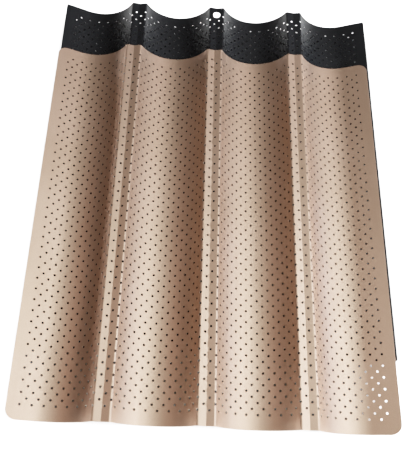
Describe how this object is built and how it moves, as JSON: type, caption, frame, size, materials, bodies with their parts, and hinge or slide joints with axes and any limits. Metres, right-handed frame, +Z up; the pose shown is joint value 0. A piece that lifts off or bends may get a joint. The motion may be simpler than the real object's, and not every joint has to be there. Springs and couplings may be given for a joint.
{
  "type": "baguette tray",
  "caption": "Nested pair of perforated sheet-metal baguette trays with rounded channels; the upper tray lifts off the lower one.",
  "frame": {"origin": "centre of the nested pair in plan, on the surface that the lower tray stands on", "axes": "+X across the channels, +Y along the channels towards the lower tray's hanging hole, +Z up"},
  "size_m": [0.332, 0.442, 0.026],
  "materials": {
    "champagne_coating": "satin non-stick coating",
    "black_coating": "satin non-stick coating"
  },
  "bodies": {
    "lower": {"lower_tray": "black_coating"},
    "upper": {"upper_tray": "champagne_coating"}
  },
  "joints": [
    {"name": "upper_tray_lift", "type": "slide", "parent": "lower", "child": "upper", "axis": [0, 0, 1], "range_m": [0, 0.08]}
  ]
}
